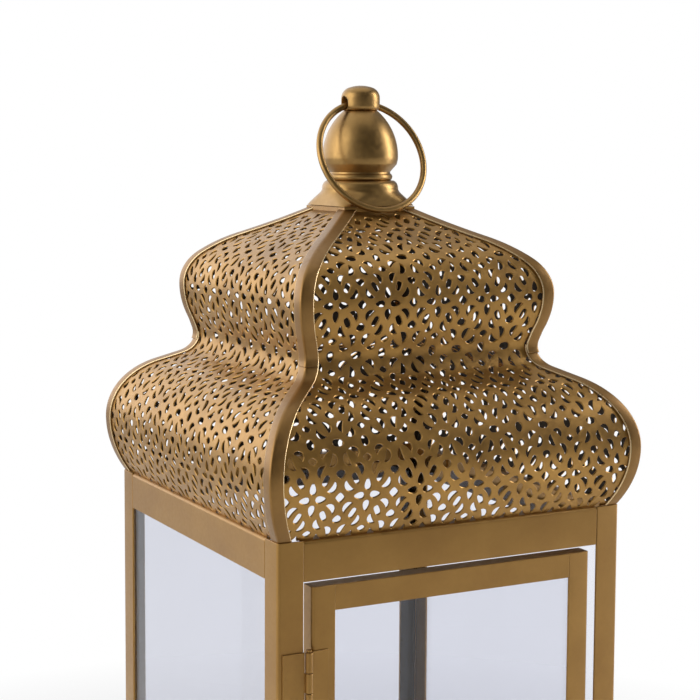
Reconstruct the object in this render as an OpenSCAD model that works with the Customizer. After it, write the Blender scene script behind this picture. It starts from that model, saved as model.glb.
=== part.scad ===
// Candle lantern: a square glazed body with a hinged door, under a pierced double-bulged
// roof that carries a turned finial and a swinging ring.
// The origin is the centre of the base, at the underside of the feet. +Z is up, the door faces -Y.

/* [Body] */
// Side of the square body, over the corner posts
body_w = 200; // [170:1:240]
// Height of the corner posts
body_h = 280; // [220:1:360]
// Width of each leg of an angle post
post_leg = 14; // [11:0.5:18]
// Thickness of the frame sheet
frame_t = 1.2; // [0.8:0.1:2]
// Height of a top or bottom rail
rail_h = 20; // [16:0.5:28]
// Depth of the inward flange on a top rail
rail_flange = 9; // [7:0.5:14]
// Thickness of the floor plate
floor_t = 1.2; // [0.8:0.1:3]
// Radius of the round seat pressed up in the floor for a candle
seat_r = 52; // [30:1:70]
// Height of the candle's seat above the floor
seat_h = 0.6; // [0.4:0.1:2]

/* [Feet] */
// Radius of a foot pad
foot_r = 8; // [5:0.5:12]
// Thickness of a foot pad
foot_h = 3; // [2:0.5:6]
// Distance from the body's corner lines to a foot's centre
foot_inset = 16; // [14:0.5:30]

/* [Glass] */
// Thickness of every pane
glass_t = 2; // [1.5:0.1:4]
// Gap between a pane's side edge and the post beside it
glass_side_gap = 2.3; // [1:0.1:4]
// Distance from the underside of the top flange down to a side pane
glass_top_gap = 9; // [8:0.5:12]
// Width of a clip that holds a pane
clip_w = 8; // [5:0.5:14]
// Thickness of a clip's strip
clip_t = 0.8; // [0.5:0.1:1.2]
// Length that a clip laps over a pane
clip_lap = 6; // [4:0.5:9]
// Distance from a pane's side edge to the middle of its clips
pane_clip_inset = 29; // [12:1:50]

/* [Door] */
// Gap between the door and the posts, which the hinge barrels fill
door_side_gap = 4.6; // [3.8:0.1:6]
// Gap between the door and the rails above and below it
door_end_gap = 3; // [1.5:0.1:6]
// Width of a door stile or rail
door_strip = 12.6; // [9:0.1:18]
// Depth of the return along the door's edge
door_return = 9; // [5:0.5:9]
// Clearance between the door's pane and its returns
door_glass_gap = 0.3; // [0.1:0.1:1]
// Distance from the door's top or bottom edge to the nearer edge of a clip
door_clip_inset = 40; // [15:1:70]
// Running gap between the shut door and its stop
stop_gap = 0.3; // [0.2:0.1:1]
// Height of the door stop
stop_h = 10; // [6:1:20]
// Distance from the latch down to the underside of the door stop
stop_drop = 30; // [24:1:60]
// Width of the door's return that the stop laps behind
stop_lap = 4; // [3:0.5:6]

/* [Hinges] */
// Clearance between a hinge barrel and the strips beside it
barrel_gap = 0.35; // [0.3:0.05:0.6]
// Radius of a hinge pin
pin_r = 0.9; // [0.6:0.05:1]
// Radial clearance of a pin in the door's knuckles
pin_gap = 0.05; // [0.02:0.01:0.1]
// Thickness of a hinge leaf
leaf_t = 0.8; // [0.6:0.1:1]
// Length of one knuckle
knuckle_l = 10; // [6:0.5:14]
// Axial gap between knuckles
knuckle_gap = 0.4; // [0.3:0.1:0.8]
// Distance from the free edge of a post's leaf to the body's corner
post_leaf_margin = 2.4; // [1:0.2:5]
// Distance from the free edge of a door's leaf to the stile's inner edge
door_leaf_margin = 3.9; // [1:0.1:6]
// Distance from the top of the body down to the top of the upper hinge
hinge_drop = 54; // [36:1:80]

/* [Latch] */
// Radius of the rivet's shank and of the keeper stud
latch_pin_r = 1.5; // [1:0.1:2.5]
// Thickness of the hook
hook_t = 1.2; // [0.8:0.1:2]
// Width of the hook's arm
hook_w = 6; // [5:0.5:9]
// Radius of the hook's round ends
hook_end_r = 4.2; // [3.8:0.1:6]
// Length of the thumb tab beyond the hook
hook_tab = 9; // [6:0.5:14]
// Running gap on each side of the hook
hook_gap = 0.3; // [0.3:0.05:0.6]

/* [Roof] */
// How far the roof's foot stands inside the body's faces, over the ribs
foot_in = 0.6; // [0.4:0.1:2]
// Height of the lower bulge's widest line above the body
belly_rise = 31; // [25:0.5:38]
// How far the lower bulge stands out past the body
belly_out = 8; // [6:0.5:12]
// Height of the waist above the lower bulge's widest line
waist_rise = 50.5; // [42:0.5:62]
// How far the waist lies inside the lower bulge
waist_in = 39; // [32:0.5:47]
// Outline radius of the waist
waist_arc = 11.5; // [8:0.5:14]
// Length of the straight flank between the lower bulge and the waist
belly_flank = 11.5; // [8:0.5:15]
// Height of the upper bulge's widest line above the waist
crown_rise = 28.5; // [23:0.5:35]
// How far the upper bulge stands out past the waist
crown_out = 6.3; // [5:0.1:8]
// Length of the straight flank between the waist and the upper bulge
crown_flank = 7.2; // [5:0.2:9]
// Outline radius above the upper bulge's widest line
crown_arc = 24.5; // [20:0.5:30]
// Outline radius of the shoulder, where the bulge runs into the sweep
shoulder_arc = 68; // [55:1:82]
// Outline radius of the long sweep up to the top opening
sweep_arc = 330; // [270:5:400]
// Thickness of a pierced panel
sheet_t = 0.8; // [0.6:0.1:1.2]

/* [Ribs] */
// Width of each leg of a rib, along the panel
rib_w = 7.5; // [5:0.5:11]
// Thickness of a rib, which stands on the panels
rib_t = 1; // [0.6:0.1:1.5]

/* [Finial] */
// Half-side of the roof's top opening
top_half = 21.5; // [18:0.5:24]
// Depth of the collar below the top opening
collar_h = 9; // [7:0.5:14]
// Gap between the collar's top edge and the underside of the finial's rim
collar_gap = 0.3; // [0.1:0.1:0.5]
// Gap between the ribs' top ends and the finial's rim
rim_gap = 1.4; // [0.5:0.1:3]
// How far the square rim stands out past the top opening
rim_over = 1.3; // [0.8:0.1:2.5]
// Height of the finial's skirt
skirt_h = 13.4; // [12:0.1:15]
// Height of the skirt's shoulder above the rim
skirt_shoulder_z = 9; // [8:0.5:10]
// Radius of the skirt's shoulder
skirt_shoulder_r = 20.7; // [19.5:0.1:21.5]
// Radius of the neck between the skirt and the bulb
neck_r = 17.2; // [16:0.1:18]
// Greatest radius of the bulb
bulb_r = 20.5; // [19.5:0.1:22]
// Height of the bulb above the skirt
bulb_h = 37.5; // [34:0.5:42]
// Radius of the knob
knob_r = 10.45; // [9.8:0.05:12.5]
// Height of the knob
knob_h = 13.7; // [12.5:0.1:15]
// Radius of the stud that holds the finial
stud_r = 3; // [2:0.1:4]
// Clearance round the stud
stud_gap = 0.1; // [0.05:0.05:0.3]

/* [Ring] */
// Radius of the ring, at the middle of its wire
ring_r = 31.2; // [30.5:0.1:34]
// Radius of the ring's wire
ring_wire_r = 1.75; // [1.4:0.05:1.9]
// Clearance between the wire and the hole through the knob
ring_gap = 0.35; // [0.3:0.05:0.6]
// Clearance between the resting ring and the rim or roof that it leans on
ring_rest_gap = 0.4; // [0.3:0.05:1]

/* [Hidden] */
$fn = 96;

// Colours
gold = "#A9803F";
gold_dark = "#8F6B34";
brass = "#9C7A45";
glass_tint = "#D9DEE8";
rubber = "#26241F";

// Angles of the four sides, measured from the right-hand side
RIGHT = 0;
BACK = 90;
LEFT = 180;
FRONT = 270;

// Body
half_w = body_w / 2;
inner_half = half_w - frame_t;
base_z = foot_h;
body_top = base_z + body_h;
span = body_w - 2 * post_leg;
floor_top = base_z + floor_t;
pane_half = inner_half - glass_side_gap;
pane_top = body_top - frame_t - glass_top_gap;

// Door
door_half = half_w - post_leg - door_side_gap;
door_z0 = base_z + rail_h + door_end_gap;
door_z1 = body_top - rail_h - door_end_gap;
door_mid_z = (door_z0 + door_z1) / 2;
door_inner = door_half - frame_t;

// Hinges: the barrel stands in the gap beside the door, far enough out for the leaves to fold flat
hinge_x = -(half_w - post_leg - door_side_gap / 2);
hinge_y = -(half_w + 1.5 * leaf_t);
hinge_h = 3 * knuckle_l;
hinge_upper_z = body_top - hinge_drop - hinge_h;
hinge_lower_z = 2 * door_mid_z - hinge_upper_z - hinge_h;
barrel_r = door_side_gap / 2 - barrel_gap;
leaf_clear = barrel_r + barrel_gap - 0.05;
knuckle_web = 1.2 * leaf_clear;

// Latch
rivet_x = door_half - door_strip / 2;
keeper_x = half_w - post_leg / 2;
latch_z = door_mid_z;
hook_reach = keeper_x - rivet_x;
hook_back = hook_gap;
rivet_head_y = hook_back + hook_t + hook_gap;
rivet_head_t = 1;
keeper_proud = 0.6;
slot_drift = pow(hook_end_r + latch_pin_r, 2) / (2 * hook_reach);

// Roof outline: arcs joined by tangents, half-width against height above the body.
// A flank of length t between two arcs whose ends are dr and dz apart fixes the sum of their radii.
function arc_sum(dr, dz, t) = (dr * dr + dz * dz - t * t) / (2 * dr);
belly_r = half_w + belly_out;
belly_z = belly_rise;
waist_r = belly_r - waist_in;
waist_z = belly_z + waist_rise;
crown_r = waist_r + crown_out;
crown_z = waist_z + crown_rise;
belly_low_arc = arc_sum(belly_out + foot_in, belly_rise, 0);
belly_high_arc = arc_sum(waist_in, waist_rise, belly_flank) - waist_arc;
crown_low_arc = arc_sum(crown_out, crown_rise, crown_flank) - waist_arc;
crown_break = 49;
shoulder_break = 66;
roof_reach = belly_r + 10;
roof_tall = crown_z + roof_reach;
function top_end(d) = let (line = roof_line(d)) line[len(line) - 1][1];

// Finial and ring
roof_top = body_top + top_end(0);
panel_top = body_top + top_end(rib_t);
rim_z = roof_top + rim_gap;
rim_half = top_half + rim_over;
strap_t = 2;
strap_w = 14;
strap_top = roof_top - 3;
skirt_t = 1.2;
bulb_z = rim_z + skirt_h;
knob_z = bulb_z + bulb_h;
ring_mouth_r = ring_wire_r + ring_gap + ring_r - sqrt(ring_r * ring_r - knob_r * knob_r);
ring_z = knob_z + ring_mouth_r + 0.1;
nut_h = 5;
nut_r = stud_r + 2.8;
joint_gap = 0.2;
spigot_r = 6;
spigot_h = 5;

// The ring leans until its wire would meet the rim's front edge or the roof in front of it,
// whichever comes first, less the clearance.
rest = ring_wire_r + ring_rest_gap;
rim_drop = ring_z - rim_z;
rim_lean = atan2(rim_half, rim_drop) + asin(rest / norm([rim_half, rim_drop]));
sweep_slope = asin((top_half - sweep_centre()[0]) / -(sweep_arc + rib_t));
roof_lean = acos(((ring_z - panel_top) * cos(sweep_slope) - top_half * sin(sweep_slope) - rest)
  / (2 * ring_r)) - sweep_slope;
ring_lean = max(rim_lean, roof_lean);

// ---------- small helpers ----------

// A block given by its lowest and highest corners.
module block(low, high) {
  translate(low) cube(high - low);
}

// Turns a piece made on the right-hand (+X) side onto another side.
module side(angle) {
  rotate([0, 0, angle]) children();
}

// Extrudes an outline drawn as (distance out from the axis, height) along the side, centred.
module along_side(length) {
  rotate([90, 0, 0]) linear_extrude(length, center = true) children();
}

// Points along an arc.
function arc(c, r, a0, a1, n) =
  [for (i = [0 : n]) let (a = a0 + (a1 - a0) * i / n) [c[0] + r * cos(a), c[1] + r * sin(a)]];

function reversed(v) = [for (i = [len(v) - 1 : -1 : 0]) v[i]];

// Centres of the three arcs above the waist, each tangent to the one before.
function crown_centre() = [crown_r - crown_arc, crown_z];
function shoulder_centre() =
  crown_centre() + (crown_arc - shoulder_arc) * [cos(crown_break), sin(crown_break)];
function sweep_centre() =
  shoulder_centre() + (shoulder_arc + sweep_arc) * [cos(shoulder_break), sin(shoulder_break)];

// The roof's outline moved inwards by d: arcs that bulge lose d, arcs that dip gain it,
// so the lines at different d stay parallel.
function roof_line(d) =
  let (
    belly_low_c = [belly_r - belly_low_arc, belly_z],
    belly_high_c = [belly_r - belly_high_arc, belly_z],
    waist_c = [waist_r + waist_arc, waist_z],
    crown_low_c = [crown_r - crown_low_arc, crown_z],
    up = waist_c - belly_high_c,
    belly_turn = atan2(up[1], up[0]) - acos((belly_high_arc + waist_arc) / norm(up)),
    down = waist_c - crown_low_c,
    crown_turn = atan2(down[1], down[0]) + acos((crown_low_arc + waist_arc) / norm(down)),
    sweep_end = 360 - acos((top_half - sweep_centre()[0]) / (sweep_arc + d))
  )
  concat(
    arc(belly_low_c, belly_low_arc - d, -asin(belly_z / (belly_low_arc - d)), -5, 6),
    arc(belly_high_c, belly_high_arc - d, 0, belly_turn, 10),
    arc(waist_c, waist_arc + d, belly_turn + 180, crown_turn + 180, 12),
    arc(crown_low_c, crown_low_arc - d, crown_turn, -3, 4),
    arc(crown_centre(), crown_arc - d, 0, crown_break, 8),
    arc(shoulder_centre(), shoulder_arc - d, crown_break + 4, shoulder_break, 4),
    arc(sweep_centre(), sweep_arc + d, shoulder_break + 178, sweep_end, 4)
  );

// The roof's section between two distances inside its outline.
module roof_section(outer, inner) {
  polygon(concat(roof_line(outer), reversed(roof_line(inner))));
}

// ---------- frame ----------

// An angle post at the corner turned from front left.
module post(angle) {
  color(gold) side(angle) translate([-half_w, -half_w, base_z])
    linear_extrude(body_h) difference() {
      square(post_leg);
      translate([frame_t, frame_t]) square(post_leg);
    }
}

// A top rail: a strip between the posts with a flange that the roof stands on.
module top_rail(angle) {
  color(gold) side(angle) along_side(span) union() {
    translate([inner_half, body_top - rail_h]) square([frame_t, rail_h]);
    translate([half_w - rail_flange, body_top - frame_t]) square([rail_flange, frame_t]);
  }
}

module bottom_rail(angle) {
  color(gold) side(angle) along_side(span)
    translate([inner_half, base_z]) square([frame_t, rail_h]);
}

// The floor, with a raised round seat for a candle.
module floor_plate() {
  color(gold_dark) union() {
    block([-inner_half, -inner_half, base_z], [inner_half, inner_half, floor_top]);
    translate([0, 0, base_z]) cylinder(r = seat_r, h = floor_t + seat_h);
  }
}

module foot_pads() {
  color(rubber) for (x = [-1, 1]) for (y = [-1, 1])
    translate([x * (half_w - foot_inset), y * (half_w - foot_inset), 0])
      cylinder(r = foot_r, h = foot_h);
}

// ---------- glass ----------

// A pane that stands on the floor plate, behind a pair of posts.
module pane(angle) {
  color(glass_tint, 0.4) side(angle)
    block([inner_half - glass_t, -pane_half, floor_top], [inner_half, pane_half, pane_top]);
}

// Bent strips that hold one pane: two from the top rail and two from the floor plate.
module side_clips(angle) {
  glass_in = inner_half - glass_t;
  side(angle) for (y = [-1, 1]) translate([0, y * (pane_half - pane_clip_inset), 0]) {
    along_side(clip_w) union() {
      translate([inner_half - clip_t, pane_top + clip_t]) square([clip_t, glass_top_gap - clip_t]);
      translate([glass_in - clip_t, pane_top]) square([glass_t + clip_t, clip_t]);
      translate([glass_in - clip_t, pane_top - clip_lap]) square([clip_t, clip_lap + clip_t]);
    }
    along_side(clip_w) union() {
      translate([glass_in - clip_t, floor_top]) square([clip_t, clip_lap]);
      translate([glass_in - clip_lap, floor_top]) square([clip_lap, clip_t]);
    }
  }
}

module pane_clips() {
  color(gold_dark) for (angle = [RIGHT, BACK, LEFT]) side_clips(angle);
}

// ---------- door ----------

// A stile: a flat face with a return along its outer edge. hand is -1 on the left, 1 on the right.
module door_stile(hand) {
  color(gold) scale([hand, 1, 1]) translate([0, 0, door_z0]) linear_extrude(door_z1 - door_z0)
    union() {
      translate([door_half - door_strip, -half_w]) square([door_strip, frame_t]);
      translate([door_inner, -half_w]) square([frame_t, door_return]);
    }
}

// A door rail between the stiles, with its return along the edge at z, which runs on behind the
// stiles as far as their own returns; inwards is 1 or -1.
module door_rail(z, inwards) {
  length = 2 * (door_half - door_strip);
  color(gold) translate([0, 0, z]) rotate([90, 0, 90]) scale([1, inwards, 1]) union() {
    linear_extrude(length, center = true) translate([-half_w, 0]) square([frame_t, door_strip]);
    linear_extrude(length, center = true) translate([-half_w, 0]) square([door_return, frame_t]);
    linear_extrude(2 * door_inner, center = true)
      translate([-inner_half, 0]) square([door_return - frame_t, frame_t]);
  }
}

module door_glass() {
  edge = frame_t + door_glass_gap;
  color(glass_tint, 0.4) block(
    [-(door_half - edge), -inner_half, door_z0 + edge],
    [door_half - edge, -inner_half + glass_t, door_z1 - edge]);
}

// Bent strips from the stiles' returns that lap over the door's pane.
module door_clips() {
  glass_in = -inner_half + glass_t;
  low_z = door_z0 + door_clip_inset;
  high_z = door_z1 - door_clip_inset - clip_w;
  color(gold_dark) for (hand = [-1, 1]) for (z = [low_z, high_z])
    scale([hand, 1, 1]) translate([0, 0, z]) linear_extrude(clip_w) union() {
      translate([door_inner - clip_lap, glass_in]) square([clip_lap, clip_t]);
      translate([door_inner - clip_t, glass_in]) square([clip_t, door_return - frame_t - glass_t]);
    }
}

// A bent strip on the right-hand post that the shut door's return comes to rest against.
module door_stop() {
  back = -half_w + door_return + stop_gap;
  side_margin = 2;
  web_x = half_w - post_leg + side_margin;
  foot_l = inner_half - side_margin - web_x;
  color(gold_dark) translate([0, 0, latch_z - stop_drop]) linear_extrude(stop_h) union() {
    translate([web_x, -inner_half]) square([foot_l, frame_t]);
    translate([web_x, -inner_half]) square([frame_t, back + inner_half + frame_t]);
    translate([door_half - stop_lap, back])
      square([web_x + frame_t - door_half + stop_lap, frame_t]);
  }
}

// ---------- hinges ----------

// One knuckle with its bore, from z0 to z1, joined to a leaf that reaches out on one side.
// hand is -1 for the leaf on the post and 1 for the leaf on the door.
module knuckle(hand, z0, z1, bore_r) {
  difference() {
    union() {
      translate([hinge_x, hinge_y, z0]) cylinder(r = barrel_r, h = z1 - z0);
      block([hinge_x + min(0, hand * knuckle_web), -half_w - leaf_t, z0],
            [hinge_x + max(0, hand * knuckle_web), -half_w, z1]);
    }
    translate([hinge_x, hinge_y, z0 - 1]) cylinder(r = bore_r, h = z1 - z0 + 2);
  }
}

module leaf_plate(hand, z) {
  near = hinge_x + hand * leaf_clear;
  far = hand < 0 ? post_leaf_margin - half_w : door_strip - door_leaf_margin - door_half;
  block([min(near, far), -half_w - leaf_t, z], [max(near, far), -half_w, z + hinge_h]);
}

// The post's leaf has the middle knuckle, which grips the pin.
module frame_leaf(z) {
  color(brass) union() {
    leaf_plate(-1, z);
    knuckle(-1, z + knuckle_l + knuckle_gap / 2, z + 2 * knuckle_l - knuckle_gap / 2, pin_r);
  }
}

// The door's leaf has the two outer knuckles, which turn on the pin.
module door_leaf(z) {
  color(brass) union() {
    leaf_plate(1, z);
    knuckle(1, z, z + knuckle_l - knuckle_gap / 2, pin_r + pin_gap);
    knuckle(1, z + 2 * knuckle_l + knuckle_gap / 2, z + hinge_h, pin_r + pin_gap);
  }
}

module hinge_pin(z) {
  head_h = 0.8;
  head_r = pin_r + 0.5;
  color(brass) translate([hinge_x, hinge_y, z]) union() {
    cylinder(r = pin_r, h = hinge_h);
    translate([0, 0, hinge_h + knuckle_gap]) cylinder(r = head_r, h = head_h);
    translate([0, 0, -knuckle_gap - head_h]) cylinder(r = head_r, h = head_h);
    translate([0, 0, -knuckle_gap]) cylinder(r = pin_r, h = hinge_h + 2 * knuckle_gap);
  }
}

// ---------- latch ----------

// Extrudes an outline drawn as (x, z) forwards from the door's face: from near to near + depth.
module proud_of_face(near, depth) {
  translate([0, -half_w - near, 0]) rotate([90, 0, 0]) linear_extrude(depth) children();
}

// A flat hook that turns on the rivet and drops over the keeper stud.
module latch_hook() {
  slot_r = latch_pin_r + hook_gap;
  color(brass) proud_of_face(hook_back, hook_t) translate([rivet_x, latch_z]) difference() {
    union() {
      circle(r = hook_end_r);
      translate([0, -hook_w / 2]) square([hook_reach, hook_w]);
      translate([hook_reach, 0]) circle(r = hook_end_r);
      translate([hook_reach, 0]) square([hook_tab, hook_w / 2]);
      translate([hook_reach + hook_tab, hook_w / 4]) circle(r = hook_w / 4);
    }
    circle(r = latch_pin_r + pin_gap);
    translate([hook_reach, 0]) circle(r = slot_r);
    translate([hook_reach - slot_r - slot_drift, -hook_end_r - 1])
      square([2 * slot_r + slot_drift, hook_end_r + 1]);
  }
}

module latch_rivet() {
  color(brass) union() {
    proud_of_face(0, rivet_head_y) translate([rivet_x, latch_z]) circle(r = latch_pin_r);
    proud_of_face(rivet_head_y, rivet_head_t) translate([rivet_x, latch_z])
      circle(r = 2 * latch_pin_r);
  }
}

module keeper_stud() {
  color(brass) proud_of_face(0, rivet_head_y + keeper_proud) translate([keeper_x, latch_z])
    circle(r = latch_pin_r);
}

// ---------- roof ----------

// One side of the roof: the section carried along the side and mitred at both hips.
module roof_panel(angle) {
  color(gold) side(angle) translate([0, 0, body_top]) intersection() {
    along_side(2 * roof_reach) roof_section(rib_t, rib_t + sheet_t);
    linear_extrude(roof_tall)
      polygon([[0, 0], [roof_reach, -roof_reach], [roof_reach, roof_reach]]);
  }
}

// One leg of a rib: the strip of section beside the hip at +X +Y.
module rib_leg(z0, z1) {
  intersection() {
    along_side(2 * roof_reach) intersection() {
      roof_section(0, rib_t);
      translate([0, z0]) square([roof_reach, z1 - z0]);
    }
    linear_extrude(roof_tall)
      polygon([[rib_w, 0], [0, 0], [roof_reach, roof_reach], [roof_reach, roof_reach - rib_w]]);
  }
}

// A folded angle strip over one hip, turned from the back right-hand corner.
module rib(angle, z0, z1) {
  color(gold_dark) side(angle) translate([0, 0, body_top]) union() {
    rib_leg(z0, z1);
    mirror([1, -1, 0]) rib_leg(z0, z1);
  }
}

module rib_lower(angle) {
  rib(angle, 0, waist_z);
}

module rib_upper(angle) {
  rib(angle, waist_z, roof_tall);
}

// ---------- finial ----------

// A square strip inside the top opening, which stands up into the gap under the finial's rim.
module roof_collar() {
  in = top_half - frame_t;
  tall = collar_h + rim_gap - collar_gap;
  color(gold_dark) translate([0, 0, roof_top - collar_h]) difference() {
    block([-top_half, -top_half, 0], [top_half, top_half, tall]);
    block([-in, -in, -1], [in, in, tall + 1]);
  }
}

module finial_strap() {
  in = top_half - frame_t;
  color(gold_dark) difference() {
    block([-in, -strap_w / 2, strap_top - strap_t], [in, strap_w / 2, strap_top]);
    translate([0, 0, strap_top - strap_t - 1]) cylinder(r = stud_r + stud_gap, h = strap_t + 2);
  }
}

module finial_spacer() {
  color(gold_dark) translate([0, 0, strap_top]) difference() {
    cylinder(r = stud_r + 2, h = bulb_z - skirt_t - strap_top);
    translate([0, 0, -1]) cylinder(r = stud_r + stud_gap, h = bulb_z - strap_top);
  }
}

// Half-width of the skirt at height z above the rim: a cove up to the shoulder, then round it.
function skirt_half(z) = z < skirt_shoulder_z
  ? skirt_shoulder_r + (rim_half - skirt_shoulder_r) * pow(1 - z / skirt_shoulder_z, 2)
  : neck_r + (skirt_shoulder_r - neck_r)
    * sqrt(max(0, 1 - pow((z - skirt_shoulder_z) / (skirt_h - skirt_shoulder_z + 0.2), 2)));

// How square the skirt is at height z: 2 is round, and larger is squarer.
function skirt_power(z) = 2 + 7 * pow(max(0, 1 - z / skirt_shoulder_z), 2);

// A closed ring of points on the skirt at height z, moved inwards by d.
function skirt_ring(z, d, n) = [
  for (i = [0 : n - 1])
    let (
      a = 360 * i / n,
      p = skirt_power(z),
      r = (skirt_half(z) - d) / pow(pow(abs(cos(a)), p) + pow(abs(sin(a)), p), 1 / p)
    )
    [r * cos(a), r * sin(a), z]
];

// A closed ring of points on a circle of radius r at height z.
function round_ring(z, r, n) =
  [for (i = [0 : n - 1]) [r * cos(360 * i / n), r * sin(360 * i / n), z]];

// A hollow skirt, square at its rim and round at its neck: one closed skin that runs up the
// outside, down the stud's bore and back down the inside to the rim.
module finial_skirt() {
  n = 48;
  m = 12;
  ceiling = skirt_h - skirt_t;
  bore = stud_r + stud_gap;
  rings = concat(
    [for (k = [0 : m]) skirt_ring(skirt_h * k / m, 0, n)],
    [round_ring(skirt_h, bore, n), round_ring(ceiling, bore, n)],
    [for (k = [m : -1 : 0]) skirt_ring(ceiling * k / m, skirt_t, n)]
  );
  rows = len(rings);
  skin = [
    for (k = [0 : rows - 1]) for (i = [0 : n - 1])
      let (low = k * n, high = ((k + 1) % rows) * n, next = (i + 1) % n)
        each [[low + i, high + i, high + next], [low + i, high + next, low + next]]
  ];
  color(brass) translate([0, 0, rim_z]) polyhedron([for (ring = rings) each ring], skin);
}

// The turned bulb: a neck bead, a coned facet, a crease and an ogive that runs up to the knob.
module finial_bulb() {
  bead_r = 2.1;
  bead_over = 0.3;
  bead_turn = 70;
  crease_z = 9;
  crease_r = bulb_r - 0.6;
  widest_z = 13;
  top_r = knob_r - 1.1;
  rise = bulb_h - widest_z;
  ogive_arc = (pow(bulb_r - top_r, 2) + rise * rise) / (2 * (bulb_r - top_r));
  ogive_end = asin(rise / ogive_arc);
  color(brass) translate([0, 0, bulb_z]) difference() {
    rotate_extrude() polygon(concat(
      [[0, 0]],
      arc([neck_r + bead_over - bead_r, bead_r * sin(bead_turn)], bead_r, -bead_turn, 60, 8),
      [[neck_r - 0.9, 2.2 * bead_r], [crease_r, crease_z]],
      arc([bulb_r - ogive_arc, widest_z], ogive_arc, -3, ogive_end, 18),
      [[0, bulb_h]]
    ));
    translate([0, 0, -1]) cylinder(r = stud_r + stud_gap, h = bulb_h - spigot_h + 1);
    translate([0, 0, bulb_h - spigot_h - joint_gap])
      cylinder(r = spigot_r + stud_gap, h = spigot_h + 1);
  }
}

// The space that the wire sweeps as it turns about the X axis: an hourglass hole.
module ring_hole() {
  reach = knob_r + 1;
  wire = ring_wire_r + ring_gap;
  n = 10;
  rotate([0, 90, 0]) rotate_extrude() polygon(concat(
    [[0, -reach]],
    [for (i = [-n : n]) let (x = reach * i / n) [wire + ring_r - sqrt(ring_r * ring_r - x * x), x]],
    [[0, reach]]
  ));
}

// The knob, with a domed top, a spigot in the bulb and the ring's hole across it.
module finial_knob() {
  heel_r = 3;
  heel_turn = 68;
  edge_r = 6;
  dome_arc = 20;
  dome_turn = asin((knob_r - edge_r) / (dome_arc - edge_r));
  edge_c = [knob_r - edge_r, knob_h - dome_arc + (dome_arc - edge_r) * cos(dome_turn)];
  dome_c = edge_c - (dome_arc - edge_r) * [sin(dome_turn), cos(dome_turn)];
  color(brass) difference() {
    translate([0, 0, knob_z]) union() {
      rotate_extrude() polygon(concat(
        [[0, 0]],
        arc([knob_r - heel_r, heel_r * sin(heel_turn)], heel_r, -heel_turn, 0, 6),
        arc(edge_c, edge_r, 0, 90 - dome_turn, 10),
        arc(dome_c, dome_arc, 90 - dome_turn + 2, 90, 6)
      ));
      translate([0, 0, -spigot_h]) cylinder(r = spigot_r, h = spigot_h + 1);
    }
    translate([0, 0, ring_z]) ring_hole();
  }
}

module finial_stud() {
  low = strap_top - strap_t - nut_h - 3;
  high = knob_z - spigot_h - joint_gap - 2;
  color("silver") translate([0, 0, low]) cylinder(r = stud_r, h = high - low);
}

module finial_nut() {
  color("silver") translate([0, 0, strap_top - strap_t - nut_h]) difference() {
    cylinder(r = nut_r, h = nut_h, $fn = 6);
    translate([0, 0, -1]) cylinder(r = stud_r + stud_gap, h = nut_h + 2);
  }
}

// The ring, leaning forward on the finial.
module ring_handle() {
  color(brass) translate([0, 0, ring_z]) rotate([-ring_lean, 0, 0]) translate([0, 0, -ring_r])
    rotate([90, 0, 0]) rotate_extrude() translate([ring_r, 0]) circle(r = ring_wire_r);
}

// ---------- pieces ----------

post(0);  // post_front_left
post(90);  // post_front_right
post(180);  // post_back_right
post(270);  // post_back_left
top_rail(FRONT);  // top_rail_front
top_rail(RIGHT);  // top_rail_right
top_rail(BACK);  // top_rail_back
top_rail(LEFT);  // top_rail_left
bottom_rail(FRONT);  // bottom_rail_front
bottom_rail(RIGHT);  // bottom_rail_right
bottom_rail(BACK);  // bottom_rail_back
bottom_rail(LEFT);  // bottom_rail_left
floor_plate();
foot_pads();
pane(LEFT);  // glass_left
pane(RIGHT);  // glass_right
pane(BACK);  // glass_back
pane_clips();
door_stile(-1);  // door_stile_left
door_stile(1);  // door_stile_right
door_rail(door_z1, -1);  // door_rail_top
door_rail(door_z0, 1);  // door_rail_bottom
door_glass();
door_clips();
door_stop();
frame_leaf(hinge_upper_z);  // hinge_upper_frame_leaf
frame_leaf(hinge_lower_z);  // hinge_lower_frame_leaf
door_leaf(hinge_upper_z);  // hinge_upper_door_leaf
door_leaf(hinge_lower_z);  // hinge_lower_door_leaf
hinge_pin(hinge_upper_z);  // hinge_upper_pin
hinge_pin(hinge_lower_z);  // hinge_lower_pin
latch_hook();
latch_rivet();
keeper_stud();
roof_panel(FRONT);  // roof_panel_front
roof_panel(RIGHT);  // roof_panel_right
roof_panel(BACK);  // roof_panel_back
roof_panel(LEFT);  // roof_panel_left
rib_upper(0);  // rib_upper_back_right
rib_upper(90);  // rib_upper_back_left
rib_upper(180);  // rib_upper_front_left
rib_upper(270);  // rib_upper_front_right
rib_lower(0);  // rib_lower_back_right
rib_lower(90);  // rib_lower_back_left
rib_lower(180);  // rib_lower_front_left
rib_lower(270);  // rib_lower_front_right
roof_collar();
finial_strap();
finial_spacer();
finial_stud();
finial_nut();
finial_skirt();
finial_bulb();
finial_knob();
ring_handle();
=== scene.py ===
"""Looks of the candle lantern: a pierced double-bulged roof, a folded sheet frame, a glazed door
and a turned finial with a swinging ring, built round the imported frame."""
import math

import bmesh
import bpy
import numpy as np
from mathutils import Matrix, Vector, geometry


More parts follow.
